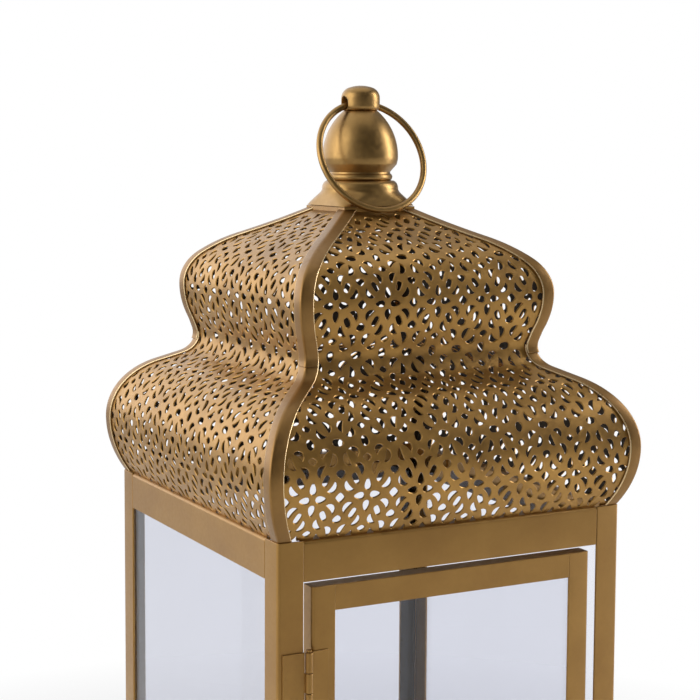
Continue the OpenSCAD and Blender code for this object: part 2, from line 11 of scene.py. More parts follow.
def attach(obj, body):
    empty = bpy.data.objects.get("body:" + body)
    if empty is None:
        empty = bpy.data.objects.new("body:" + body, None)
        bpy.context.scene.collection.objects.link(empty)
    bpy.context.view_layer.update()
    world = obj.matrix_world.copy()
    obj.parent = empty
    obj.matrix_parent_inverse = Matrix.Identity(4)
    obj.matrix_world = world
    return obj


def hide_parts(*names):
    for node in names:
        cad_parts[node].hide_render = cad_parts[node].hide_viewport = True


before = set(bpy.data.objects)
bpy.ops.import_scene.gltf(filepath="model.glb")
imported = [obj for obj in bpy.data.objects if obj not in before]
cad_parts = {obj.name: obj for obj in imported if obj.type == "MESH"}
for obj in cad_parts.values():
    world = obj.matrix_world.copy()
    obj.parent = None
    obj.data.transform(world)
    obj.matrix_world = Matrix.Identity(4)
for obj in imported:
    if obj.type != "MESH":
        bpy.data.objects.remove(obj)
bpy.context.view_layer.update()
MM = 0.001
CORNERS = ("front_left", "front_right", "back_right", "back_left")
SIDES = ("front", "right", "back", "left")

# Body, in millimetres
HALF = 100.0
BASE_Z = 3.0
BODY_TOP = 283.0
SHEET = 1.2
POST_LEG = 14.0
RAIL_H = 20.0
RAIL_FLANGE = 9.0
FOLD_STEPS = 7      # points round a fold
SEAM = 0.12         # open seam at each end of a butted rail

# Door
DOOR_HALF = 81.4
DOOR_LOW, DOOR_HIGH = 26.0, 260.0
DOOR_STRIP = 12.6
DOOR_RETURN = 9.0

# Roof outline above the body: half-width r against height z, all arcs tangent to each other
BELLY_R, BELLY_Z = 108.0, 31.0
BELLY_LOW_ARC, BELLY_HIGH_ARC = 60.17, 39.0
WAIST_R, WAIST_Z, WAIST_ARC = 69.0, 81.5, 11.5
CROWN_R, CROWN_Z = 75.3, 110.0
CROWN_LOW_ARC, CROWN_ARC = 52.0, 24.5
SHOULDER_ARC, SWEEP_ARC = 68.0, 330.0
CROWN_BREAK, SHOULDER_BREAK = 49.0, 66.0
TOP_HALF = 21.5
ARC_STEP = 30.0     # degrees of turn times radius for each point of an arc

# Ribs and panels
RIB_T, RIB_W = 1.0, 7.5
RIB_BEND, RIB_EDGE = 1.3, 0.55      # radii of a rib's fold and of its free edges
ROLL_STEPS = 4                      # facets round a free edge
PANEL_T = 0.8
SLIP = 0.02                         # hidden clearance between a rib and the sheet under it

# Piercing: the repeating cell, and where one of its flowers sits across and along a panel
CELL_W, CELL_H = 29.6, 53.3
CELL_U, CELL_S = 4.2, 22.2
LOOP = 14                           # points round a hole
EDGE_ROLL = 0.28                    # roll of a hole's edge
HIP_MARGIN, TOP_MARGIN = 4.2, 4.0   # least distance of a hole's middle from the hips and the top
FOOT_REACH = 2.5                    # how far below the foot a cut hole's middle may lie
LATTICE = 2.3                       # spacing of the sheet's own points between the holes
LATTICE_MARGIN = 1.2                # how far those points stay from the hips
HOLE_GROWTH = 1.45                  # and how far from the holes, as a growth of each hole

# Finial and ring
RIM_Z = 438.025
SKIRT_H, SKIRT_SHOULDER_Z, SKIRT_SHOULDER_R = 13.4, 9.0, 20.7
RIM_HALF, NECK_R, SKIRT_T = 22.8, 17.2, 1.2
SKIRT_OVERRUN = 0.2     # keeps the skirt's last ring just short of level
BULB_Z, BULB_H, BULB_R = 451.425, 37.5, 20.5
KNOB_R = 10.45
STUD_R = 3.1
TURN_STEPS = 144    # facets of a turned piece
RING_Z, RING_R, WIRE_R, RING_LEAN = 492.927, 31.2, 1.75, 24.625


# ---------- camera, floor and light ----------

def aim(obj, place, yaw, pitch):
    """Puts obj at place, facing yaw degrees from +Y towards +X and pitch degrees down."""
    obj.location = Vector(place) * MM
    obj.rotation_euler = (math.radians(90 - pitch), 0, math.radians(-yaw))


def add_camera():
    """The camera: its lens, shift, place and direction."""
    data = bpy.data.cameras.new("camera")
    data.lens = 83.67
    data.sensor_width = 36
    data.shift_x = 0.1466
    data.shift_y = -0.09
    data.clip_end = 50
    obj = bpy.data.objects.new("camera", data)
    bpy.context.scene.collection.objects.link(obj)
    aim(obj, (-438.1, -773.3, 469.1), 25.58, 4.89)
    bpy.context.scene.camera = obj


def add_softbox(name, place, target, size, power):
    """A rectangular soft light at place, facing target, in millimetres."""
    data = bpy.data.lights.new(name, "AREA")
    data.shape = "RECTANGLE"
    data.size, data.size_y = size[0] * MM, size[1] * MM
    data.energy = power
    obj = bpy.data.objects.new(name, data)
    bpy.context.scene.collection.objects.link(obj)
    obj.location = Vector(place) * MM
    way = Vector(target) * MM - obj.location
    obj.rotation_euler = way.to_track_quat("-Z", "Y").to_euler()


def math_node(nodes, links, operation, *values):
    """A maths node whose inputs are sockets or plain numbers."""
    n = nodes.new("ShaderNodeMath")
    n.operation = operation
    for socket, value in zip(n.inputs, values):
        if isinstance(value, (int, float)):
            socket.default_value = value
        else:
            links.new(value, socket)
    return n.outputs["Value"]


def seen_directly(nodes, links):
    """One for what the camera sees straight on or through glass, nought for light and mirrors."""
    path = nodes.new("ShaderNodeLightPath")
    return math_node(nodes, links, "MAXIMUM", path.outputs["Is Camera Ray"],
                     path.outputs["Is Transmission Ray"])


def add_room(scene):
    """A white surround whose light is strong behind the lantern and falls off in front of it."""
    world = bpy.data.worlds.new("studio")
    scene.world = world
    world.use_nodes = True
    nodes, links = world.node_tree.nodes, world.node_tree.links
    nodes.clear()
    out = nodes.new("ShaderNodeOutputWorld")
    mix = nodes.new("ShaderNodeMixShader")
    seen = nodes.new("ShaderNodeBackground")
    seen.inputs["Color"].default_value = (1, 1, 1, 1)
    room = nodes.new("ShaderNodeBackground")
    coord = nodes.new("ShaderNodeTexCoord")
    dot = nodes.new("ShaderNodeVectorMath")
    dot.operation = "DOT_PRODUCT"
    dot.inputs[1].default_value = (-0.52, 0.8, -0.3)
    links.new(coord.outputs["Generated"], dot.inputs[0])
    half = span(nodes, links, dot.outputs["Value"], -1, 1, 0, 1)
    tone = ramp(nodes, links, half, [(0.2, (0.10, 0.098, 0.095)), (0.55, (0.32, 0.32, 0.325)),
                                     (0.9, (1.7, 1.7, 1.75))])
    links.new(tone, room.inputs["Color"])
    links.new(seen_directly(nodes, links), mix.inputs["Fac"])
    links.new(room.outputs["Background"], mix.inputs[1])
    links.new(seen.outputs["Background"], mix.inputs[2])
    links.new(mix.outputs["Shader"], out.inputs["Surface"])


def add_floor(scene):
    """A matt white floor that fades to pure white between fade_start and fade_end, in metres from
    the lantern's middle."""
    reach = 6.0
    fade_start, fade_end = 0.25, 0.6
    mesh = bpy.data.meshes.new("floor")
    corners = [(-reach, -reach, 0), (reach, -reach, 0), (reach, reach, 0), (-reach, reach, 0)]
    mesh.from_pydata(corners, [], [(0, 1, 2, 3)])
    floor = bpy.data.objects.new("floor", mesh)
    scene.collection.objects.link(floor)
    mat, nodes, links, shader, place = base_material("floor_white")
    shader.inputs["Base Color"].default_value = (0.85, 0.85, 0.85, 1)
    shader.inputs["Roughness"].default_value = 0.9
    out = nodes["Material Output"]
    mix = nodes.new("ShaderNodeMixShader")
    plain = nodes.new("ShaderNodeEmission")
    far = nodes.new("ShaderNodeVectorMath")
    far.operation = "LENGTH"
    links.new(place, far.inputs[0])
    away = span(nodes, links, far.outputs["Value"], fade_start, fade_end, 0.0, 1.0)
    links.new(math_node(nodes, links, "MULTIPLY", away, seen_directly(nodes, links)),
              mix.inputs["Fac"])
    links.new(shader.outputs["BSDF"], mix.inputs[1])
    links.new(plain.outputs["Emission"], mix.inputs[2])
    links.new(mix.outputs["Shader"], out.inputs["Surface"])
    mesh.materials.append(mat)


def add_studio():
    """The white surround, the floor and three soft lights."""
    scene = bpy.context.scene
    scene.view_settings.view_transform = "Standard"
    add_room(scene)
    add_floor(scene)
    add_softbox("key_left", (-1500, 100, 1000), (0, 0, 330), (1400, 1500), 12)
    add_softbox("fill_right", (1500, -500, 800), (0, 0, 330), (420, 1300), 16)
    add_softbox("top", (100, 200, 1900), (0, 0, 0), (1800, 1800), 7)


# ---------- finishes ----------

def base_material(name):
    """A new material with its shader and its object coordinates."""
    mat = bpy.data.materials.new(name)
    mat.use_nodes = True
    nodes = mat.node_tree.nodes
    coord = nodes.new("ShaderNodeTexCoord")
    return mat, nodes, mat.node_tree.links, nodes["Principled BSDF"], coord.outputs["Object"]


def noise(nodes, links, place, scale, detail=3.0, rough=0.5):
    """The value of a noise texture at place, between nought and one."""
    n = nodes.new("ShaderNodeTexNoise")
    n.inputs["Scale"].default_value = scale
    n.inputs["Detail"].default_value = detail
    n.inputs["Roughness"].default_value = rough
    links.new(place, n.inputs["Vector"])
    return n.outputs["Fac"]


def span(nodes, links, value, low, high, out_low, out_high):
    """Maps value from low..high onto out_low..out_high."""
    n = nodes.new("ShaderNodeMapRange")
    n.inputs["From Min"].default_value = low
    n.inputs["From Max"].default_value = high
    n.inputs["To Min"].default_value = out_low
    n.inputs["To Max"].default_value = out_high
    links.new(value, n.inputs["Value"])
    return n.outputs["Result"]


def ramp(nodes, links, value, stops):
    """A colour ramp through (position, colour) stops."""
    n = nodes.new("ShaderNodeValToRGB")
    elements = n.color_ramp.elements
    while len(elements) < len(stops):
        elements.new(0.5)
    for element, (position, colour) in zip(elements, stops):
        element.position = position
        element.color = (*colour, 1)
    links.new(value, n.inputs["Fac"])
    return n.outputs["Color"]


def bump(nodes, links, height, distance, strength=1.0, normal=None):
    """A bumped normal from a height, laid over another normal if one is given."""
    n = nodes.new("ShaderNodeBump")
    n.inputs["Strength"].default_value = strength
    n.inputs["Distance"].default_value = distance
    links.new(height, n.inputs["Height"])
    if normal is not None:
        links.new(normal, n.inputs["Normal"])
    return n.outputs["Normal"]


def metal_paint(name, dark, mid, light, rough, coat, metallic=0.85, orange_peel=0.00004):
    """Lacquered gold: clouded colour, uneven gloss and a fine orange-peel skin."""
    mat, nodes, links, shader, place = base_material(name)
    cloud = noise(nodes, links, place, 38, 5, 0.6)
    colour = ramp(nodes, links, cloud, [(0.3, dark), (0.5, mid), (0.72, light)])
    links.new(colour, shader.inputs["Base Color"])
    grain = noise(nodes, links, place, 420, 3, 0.6)
    gloss = span(nodes, links, grain, 0.3, 0.7, rough - 0.07, rough + 0.08)
    links.new(gloss, shader.inputs["Roughness"])
    shader.inputs["Metallic"].default_value = metallic
    shader.inputs["Coat Weight"].default_value = coat
    shader.inputs["Coat Roughness"].default_value = 0.38
    peel = bump(nodes, links, noise(nodes, links, place, 900, 2), orange_peel)
    dents = bump(nodes, links, noise(nodes, links, place, 22, 2), 0.0006, 0.35, peel)
    links.new(dents, shader.inputs["Normal"])
    return mat


def glass_material():
    """Clear float glass with a faint cool tint and the least waviness."""
    mat, nodes, links, shader, place = base_material("window_glass")
    shader.inputs["Base Color"].default_value = (0.82, 0.83, 0.88, 1)
    shader.inputs["Transmission Weight"].default_value = 1.0
    shader.inputs["IOR"].default_value = 1.46
    rough = span(nodes, links, noise(nodes, links, place, 12, 3), 0.3, 0.7, 0.0, 0.008)
    links.new(rough, shader.inputs["Roughness"])
    path = nodes.new("ShaderNodeLightPath")
    links.new(math_node(nodes, links, "SUBTRACT", 1.0, path.outputs["Is Shadow Ray"]),
              shader.inputs["Alpha"])
    wave = bump(nodes, links, noise(nodes, links, place, 7, 0), 0.0003, 0.06)
    links.new(wave, shader.inputs["Normal"])
    return mat


def steel_material():
    """Zinc-plated steel, slightly clouded."""
    mat, nodes, links, shader, place = base_material("zinc_steel")
    cloud = noise(nodes, links, place, 160, 4)
    colour = ramp(nodes, links, cloud, [(0.35, (0.42, 0.43, 0.44)), (0.65, (0.62, 0.62, 0.6))])
    links.new(colour, shader.inputs["Base Color"])
    shader.inputs["Metallic"].default_value = 1.0
    links.new(span(nodes, links, cloud, 0.3, 0.7, 0.25, 0.42), shader.inputs["Roughness"])
    return mat


def rubber_material():
    """Matt black rubber with a fine grain."""
    mat, nodes, links, shader, place = base_material("foot_rubber")
    cloud = noise(nodes, links, place, 300, 4)
    colour = ramp(nodes, links, cloud, [(0.35, (0.012, 0.012, 0.011)),
                                        (0.7, (0.03, 0.03, 0.028))])
    links.new(colour, shader.inputs["Base Color"])
    shader.inputs["Roughness"].default_value = 0.75
    links.new(bump(nodes, links, cloud, 0.0001), shader.inputs["Normal"])
    return mat


# ---------- mesh helpers ----------

def new_piece(name, points, faces, material):
    """A flat-shaded piece from points in millimetres."""
    mesh = bpy.data.meshes.new(name)
    mesh.from_pydata((np.asarray(points, float) * MM).tolist(), [], faces)
    mesh.materials.append(material)
    obj = bpy.data.objects.new(name, mesh)
    bpy.context.scene.collection.objects.link(obj)
    return obj


def place(obj, body, slot, *nodes):
    """Rides obj on body and hides the CAD nodes that it stands for; slot is not used."""
    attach(obj, body)
    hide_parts(*nodes)


def add_bevel(obj, width, angle=40):
    """Eases every edge sharper than angle degrees."""
    mod = obj.modifiers.new("edges", "BEVEL")
    mod.width = width * MM
    mod.segments = 2
    mod.limit_method = "ANGLE"
    mod.angle_limit = math.radians(angle)
    mod.harden_normals = False
    return obj


def turned(points, quarter):
    """Points turned a number of quarter turns about Z, anticlockwise from above."""
    c, s = [(1, 0), (0, 1), (-1, 0), (0, -1)][quarter % 4]
    p = np.asarray(points, float)
    return np.stack([c * p[..., 0] - s * p[..., 1], s * p[..., 0] + c * p[..., 1], p[..., 2]], -1)


def grid_faces(rows, columns, wrap):
    """Quads of a grid of rows by columns points; wrap joins the last column to the first."""
    i = np.arange(rows - 1)[:, None]
    j = np.arange(columns if wrap else columns - 1)[None, :]
    k = (j + 1) % columns
    row, after = i * columns, (i + 1) * columns
    return np.stack([row + j, row + k, after + k, after + j], -1).reshape(-1, 4)


def merge_close(obj):
    """Merges doubled points, so that poles close to a point, and turns every face outwards."""
    bm = bmesh.new()
    bm.from_mesh(obj.data)
    bmesh.ops.remove_doubles(bm, verts=bm.verts, dist=2e-6)
    bmesh.ops.dissolve_degenerate(bm, edges=bm.edges, dist=1e-7)
    bmesh.ops.recalc_face_normals(bm, faces=bm.faces)
    bm.to_mesh(obj.data)
    bm.free()
    return obj


def finish_smooth(obj, crease):
    """Shades obj smooth, and keeps edges sharper than crease degrees."""
    obj.data.shade_smooth()
    obj.data.set_sharp_from_angle(angle=math.radians(crease))
    return obj


def copy_node(node, name, material, crease=30):
    """A merged, smooth-shaded copy of a CAD node's mesh."""
    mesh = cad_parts[node].data.copy()
    mesh.name = name
    mesh.materials.clear()
    mesh.materials.append(material)
    obj = bpy.data.objects.new(name, mesh)
    bpy.context.scene.collection.objects.link(obj)
    return finish_smooth(merge_close(obj), crease)


# ---------- frame ----------

def fold_section(leg_a, leg_b, thick, bend):
    """An L of sheet with its outer corner at the origin, legs along +a and +b: the outer corner is
    an arc of radius bend and the inner corner an arc of radius bend - thick."""
    turn = np.radians(np.linspace(270, 180, FOLD_STEPS))
    outer = np.stack([bend + bend * np.cos(turn), bend + bend * np.sin(turn)], 1)
    inner_r = bend - thick
    inner = np.stack([bend + inner_r * np.cos(turn), bend + inner_r * np.sin(turn)], 1)[::-1]
    end_b = [[0, leg_b], [thick, leg_b]]
    return np.concatenate([[[leg_a, 0]], outer, end_b, inner, [[leg_a, thick]]])


def strip_section(width, thick):
    """A flat strip, drawn as fold_section is."""
    return np.array([[width, 0.0], [0, 0], [0, thick], [width, thick]])


def extrude(name, section, origin, a, b, length, material, quarter=0):
    """Carries a section drawn on axes a and b straight for the vector length, from origin."""
    o, a, b, length = (np.asarray(v, float) for v in (origin, a, b, length))
    ring = o + section[:, :1] * a + section[:, 1:] * b
    points = turned(np.concatenate([ring, ring + length]), quarter)
    n = len(section)
    i = np.arange(n)
    sides = np.stack([i, (i + 1) % n, (i + 1) % n + n, i + n], 1).tolist()
    faces = sides + [list(range(n))[::-1], list(range(n, 2 * n))]
    obj = merge_close(new_piece(name, points, faces, material))
    return add_bevel(finish_smooth(obj, 50), 0.25)


def build_frame(gold):
    """At each corner a folded post, and on each side a folded top rail and a flat bottom rail."""
    bend = 1.9
    inner = HALF - POST_LEG
    post = fold_section(POST_LEG - SEAM, POST_LEG - SEAM, SHEET, bend)
    top = fold_section(RAIL_H, RAIL_FLANGE, SHEET, bend)
    bottom = strip_section(RAIL_H, SHEET)
    up = (0, 0, BODY_TOP - BASE_Z)
    along = (2 * inner - 2 * SEAM, 0, 0)
    for quarter, (corner, side) in enumerate(zip(CORNERS, SIDES)):
        for name, section, origin, a, length in (
                ("post_" + corner, post, (-HALF, -HALF, BASE_Z), (1, 0, 0), up),
                ("top_rail_" + side, top, (SEAM - inner, -HALF, BODY_TOP), (0, 0, -1), along),
                ("bottom_rail_" + side, bottom, (SEAM - inner, -HALF, BASE_Z), (0, 0, 1), along)):
            obj = extrude(name + "_bar", section, origin, a, (0, 1, 0), length, gold, quarter)
            place(obj, "lantern", "frame_gold", name)


def build_door(gold):
    """Two folded stiles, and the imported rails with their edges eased."""
    bend = 1.8
    section = fold_section(DOOR_STRIP, DOOR_RETURN, SHEET, bend)
    for hand, side in ((-1, "left"), (1, "right")):
        name = "door_stile_" + side
        obj = extrude(name + "_bar", section, (hand * DOOR_HALF, -HALF, DOOR_LOW), (-hand, 0, 0),
                      (0, 1, 0), (0, 0, DOOR_HIGH - DOOR_LOW), gold)
        place(obj, "door", "frame_gold", name)
    for name in ("door_rail_top", "door_rail_bottom"):
        obj = add_bevel(copy_node(name, name + "_bar", gold), 0.35)
        place(obj, "door", "frame_gold", name)


# ---------- roof ----------

def arc_points(centre, radius, start, end, bulge):
    """Points and outward normals along an arc, from start to end degrees; bulge is 1 where the
    outline bulges and -1 where it dips."""
    n = max(4, int(abs(end - start) * radius / ARC_STEP))
    a = np.radians(np.linspace(start, end, n))
    way = np.stack([np.cos(a), np.sin(a)], 1)
    return np.concatenate([np.asarray(centre) + radius * way, bulge * way], 1)


def roof_outline():
    """Columns: half-width, height, outward normal, and the length along the panel's outer face
    from its foot. Arcs share tangents, so the gaps between them are straight flanks."""
    low_c = np.array([BELLY_R - BELLY_LOW_ARC, BELLY_Z])
    high_c = np.array([BELLY_R - BELLY_HIGH_ARC, BELLY_Z])
    waist_c = np.array([WAIST_R + WAIST_ARC, WAIST_Z])
    crown_low_c = np.array([CROWN_R - CROWN_LOW_ARC, CROWN_Z])
    crown_c = np.array([CROWN_R - CROWN_ARC, CROWN_Z])

    def ray(degrees):
        """The unit direction at an angle above the outward axis."""
        return np.array([math.cos(math.radians(degrees)), math.sin(math.radians(degrees))])

    shoulder_c = crown_c + (CROWN_ARC - SHOULDER_ARC) * ray(CROWN_BREAK)
    sweep_c = shoulder_c + (SHOULDER_ARC + SWEEP_ARC) * ray(SHOULDER_BREAK)
    up, down = waist_c - high_c, waist_c - crown_low_c
    belly_turn = math.degrees(math.atan2(up[1], up[0])
                              - math.acos((BELLY_HIGH_ARC + WAIST_ARC) / np.hypot(*up)))
    crown_turn = math.degrees(math.atan2(down[1], down[0])
                              + math.acos((CROWN_LOW_ARC + WAIST_ARC) / np.hypot(*down)))
    foot = -math.degrees(math.asin(BELLY_Z / (BELLY_LOW_ARC - RIB_T)))
    top = 360 - math.degrees(math.acos((TOP_HALF - sweep_c[0]) / SWEEP_ARC))
    line = np.concatenate([
        arc_points(low_c, BELLY_LOW_ARC, foot, 0, 1),
        arc_points(high_c, BELLY_HIGH_ARC, 0, belly_turn, 1)[1:],
        arc_points(waist_c, WAIST_ARC, belly_turn + 180, crown_turn + 180, -1),
        arc_points(crown_low_c, CROWN_LOW_ARC, crown_turn, 0, 1),
        arc_points(crown_c, CROWN_ARC, 0, CROWN_BREAK, 1)[1:],
        arc_points(shoulder_c, SHOULDER_ARC, CROWN_BREAK, SHOULDER_BREAK, 1)[1:],
        arc_points(sweep_c, SWEEP_ARC, SHOULDER_BREAK + 180, top, -1)[1:],
    ])
    face = line[:, :2] - RIB_T * line[:, 2:]
    length = np.concatenate([[0], np.cumsum(np.hypot(*np.diff(face, axis=0).T))])
    return np.column_stack([line, length])


OUTLINE = roof_outline()
ROOF_LENGTH = OUTLINE[-1, 4]


def outline_at(s, depth):
    """Half-width and height of the outline at length s, moved inwards by depth along its normal."""
    r, z, nr, nz = (np.interp(s, OUTLINE[:, 4], OUTLINE[:, k]) for k in range(4))
    size = np.hypot(nr, nz)
    return r - depth * nr / size, z - depth * nz / size


def drop(length, width):
    """A drop lying along +x, blunt end first: x = -l/2 cos t, y = w/2 sin t (1 + 0.38 cos t)."""
    t = 2 * np.pi * np.arange(LOOP) / LOOP
    return np.stack([-length / 2 * np.cos(t), -width / 2 * np.sin(t) * (1 + 0.38 * np.cos(t))], 1)


def lozenge(a, b, power):
    """A superellipse |x/a|^p + |y/b|^p = 1: below 2 it is a diamond, above 2 a rounded slab."""
    t = 2 * np.pi * np.arange(LOOP) / LOOP + (0 if power < 2 else np.pi / LOOP)
    c, s = np.cos(t), np.sin(t)
    return np.stack([a * np.sign(c) * np.abs(c) ** (2 / power),
                     b * np.sign(s) * np.abs(s) ** (2 / power)], 1)


def moon(length, thick, hollow):
    """A half moon on a chord along x, bulging to +y: a round arch of height thick over a flat
    arch of height hollow."""
    n = LOOP // 2
    back = np.cos(np.pi * np.arange(n + 1) / n)
    front = np.linspace(-1, 1, n + 1)[1:-1]
    x = np.concatenate([back, front])
    y = np.concatenate([thick * np.sqrt(np.clip(1 - back ** 2, 0, 1)), hollow * (1 - front ** 2)])
    return np.stack([x * length / 2, y - thick / 2], 1)


def shield(half_width, point, back):
    """A shield with its point at -y: a straight-sided point below the widest line, a blunt back."""
    t = 2 * np.pi * np.arange(LOOP) / LOOP
    c, s = np.cos(t), np.sin(t)
    x = half_width * np.sign(c) * np.abs(c) ** np.where(s < 0, 1.5, 0.8)
    y = np.where(s < 0, -point * np.abs(s) ** 1.3, back * np.abs(s) ** 0.8)
    return np.stack([x, y], 1)


def set_down(shape, x, y, degrees=0.0):
    """A shape turned by degrees and set down with its middle at x, y."""
    c, s = math.cos(math.radians(degrees)), math.sin(math.radians(degrees))
    return shape @ np.array([[c, s], [-s, c]]) + (x, y)


def quarter_cell():
    """The holes of one quarter of the repeating pattern, whose corner is a four-petalled flower,
    each with whether it is mirrored across and along the panel."""
    mid, top = CELL_W / 2, CELL_H / 2
    return [
        (set_down(drop(5.6, 3.3), 4.35, 0), True, False),
        (set_down(drop(5.8, 3.4), 0, 5.6, 90), False, True),
        (set_down(lozenge(2.45, 2.45, 1.3), mid, 0), False, False),
        (set_down(moon(6.3, 3.1, 0.4), mid - 3.95, 4.95, 230), True, True),
        (set_down(lozenge(2.75, 1.5, 3.2), 6.8, 8.9, 62), True, True),
        (set_down(shield(2.4, 2.3, 1.8), mid, 11.7), False, True),
        (set_down(moon(6.3, 3.0, 0.3), 3.75, 13.9, 62), True, True),
        (set_down(moon(6.6, 3.1, 0.2), mid - 3.3, 18.0, 250), True, True),
        (set_down(lozenge(2.15, 1.75, 1.5), 0, 18.6), False, True),
        (set_down(moon(5.8, 3.3, 0.5), 6.4, 22.4, 42), True, True),
        (set_down(lozenge(2.0, 2.7, 2.1), 0, top), False, False),
        (set_down(lozenge(2.9, 1.9, 2.3), mid, top), False, False),
    ]


def kept(u, s):
    """Whether a hole with its middle at u, s is clear of the panel's hips and its top edge."""
    half = outline_at(s, RIB_T)[0]
    return (np.abs(u) < half - HIP_MARGIN) & (s > -FOOT_REACH) & (s < ROOF_LENGTH - TOP_MARGIN)


def panel_holes():
    """Every hole of one panel, as an array of loops in u, s."""
    cell = []
    for loop, across, along in quarter_cell():
        copies = [loop]
        if across:
            copies += [c * (-1, 1) for c in copies]
        if along:
            copies += [c * (1, -1) for c in copies]
        cell += copies
    cell = np.array(cell)
    columns, rows = np.meshgrid(np.arange(-5, 6), np.arange(-1, 5))
    shift = np.stack([CELL_U + columns.ravel() * CELL_W, CELL_S + rows.ravel() * CELL_H], 1)
    loops = (cell[None] + shift[:, None, None]).reshape(-1, LOOP, 2)
    middle = loops.mean(1)
    return loops[kept(middle[:, 0], middle[:, 1])]


def in_hole(points, grow=1.0):
    """Whether points in u, s lie in a hole: they are folded into the quarter cell and tested by the
    even-odd rule against each of its loops, grown about its middle."""
    a, b = points[:, 0] - CELL_U, points[:, 1] - CELL_S
    column, row = np.round(a / CELL_W), np.round(b / CELL_H)
    a, b = a - column * CELL_W, b - row * CELL_H
    across, along = np.where(a < 0, -1, 1), np.where(b < 0, -1, 1)
    x, y = np.abs(a)[:, None], np.abs(b)[:, None]
    found = np.zeros(len(points), bool)
    for loop, _, _ in quarter_cell():
        middle = loop.mean(0)
        p = middle + grow * (loop - middle)
        q = np.roll(p, -1, 0)
        spans = (p[:, 1] > y) != (q[:, 1] > y)
        rise = np.where(p[:, 1] == q[:, 1], 1, q[:, 1] - p[:, 1])
        left = x < (q[:, 0] - p[:, 0]) * (y - p[:, 1]) / rise + p[:, 0]
        odd = (spans & left).sum(1) % 2 == 1
        u = CELL_U + column * CELL_W + across * middle[0]
        s = CELL_S + row * CELL_H + along * middle[1]
        found |= odd & kept(u, s)
    return found


def pierced_plan():
    """The panel's flat plan: points in u, s and triangles of a constrained triangulation of its
    outline, its hole loops and a fine lattice of points between them."""
    hip_points, edge_points = 90, 44
    s = np.linspace(0, ROOF_LENGTH, hip_points)
    half = outline_at(s, RIB_T)[0]
    edge = np.linspace(-1, 1, edge_points)[1:-1]
    third = len(edge) // 3
    right = np.stack([half, s], 1)
    top = np.stack([-edge * half[-1], np.full(len(edge), ROOF_LENGTH)], 1)[third:-third]
    left = np.stack([-half, s], 1)[::-1]
    foot = np.stack([edge * half[0], np.zeros(len(edge))], 1)
    border = np.concatenate([right, top, left, foot])
    loops = panel_holes()
    reach = BELLY_R + 2
    u, v = np.meshgrid(np.arange(-reach, reach, LATTICE),
                       np.arange(LATTICE / 2, ROOF_LENGTH - 1, LATTICE))
    u = u + LATTICE / 2 * (np.arange(len(v)) % 2)[:, None]
    lattice = np.stack([u.ravel(), v.ravel()], 1)
    inner = np.abs(lattice[:, 0]) < outline_at(lattice[:, 1], RIB_T)[0] - LATTICE_MARGIN
    lattice = lattice[inner]
    lattice = lattice[~in_hole(lattice, HOLE_GROWTH)]
    points = np.concatenate([border, loops.reshape(-1, 2), lattice])
    n = len(border)
    i = np.arange(n)
    edges = np.stack([i, (i + 1) % n], 1)
    j = np.arange(LOOP)
    ring = np.stack([j, (j + 1) % LOOP], 1)
    first = n + LOOP * np.arange(len(loops))
    edges = np.concatenate([edges, (first[:, None, None] + ring).reshape(-1, 2)])
    found = geometry.delaunay_2d_cdt([Vector(p) for p in points.tolist()], edges.tolist(), [],
                                     1, 1e-5, False)
    flat = np.array([tuple(p) for p in found[0]])
    faces = np.array(found[2])
    corner = flat[faces]
    centre = corner.mean(1)
    ab, ac = corner[:, 1] - corner[:, 0], corner[:, 2] - corner[:, 0]
    area = ab[:, 0] * ac[:, 1] - ab[:, 1] * ac[:, 0]
    faces = np.where((area < 0)[:, None], faces[:, ::-1], faces)
    inside = np.abs(centre[:, 0]) < outline_at(centre[:, 1], RIB_T)[0] + 0.01
    inside &= (centre[:, 1] > 0) & (centre[:, 1] < ROOF_LENGTH)
    faces = faces[inside & ~in_hole(centre) & (np.abs(area) > 1e-7)]
    used, faces = np.unique(faces, return_inverse=True)
    return flat[used], faces.reshape(-1, 3)


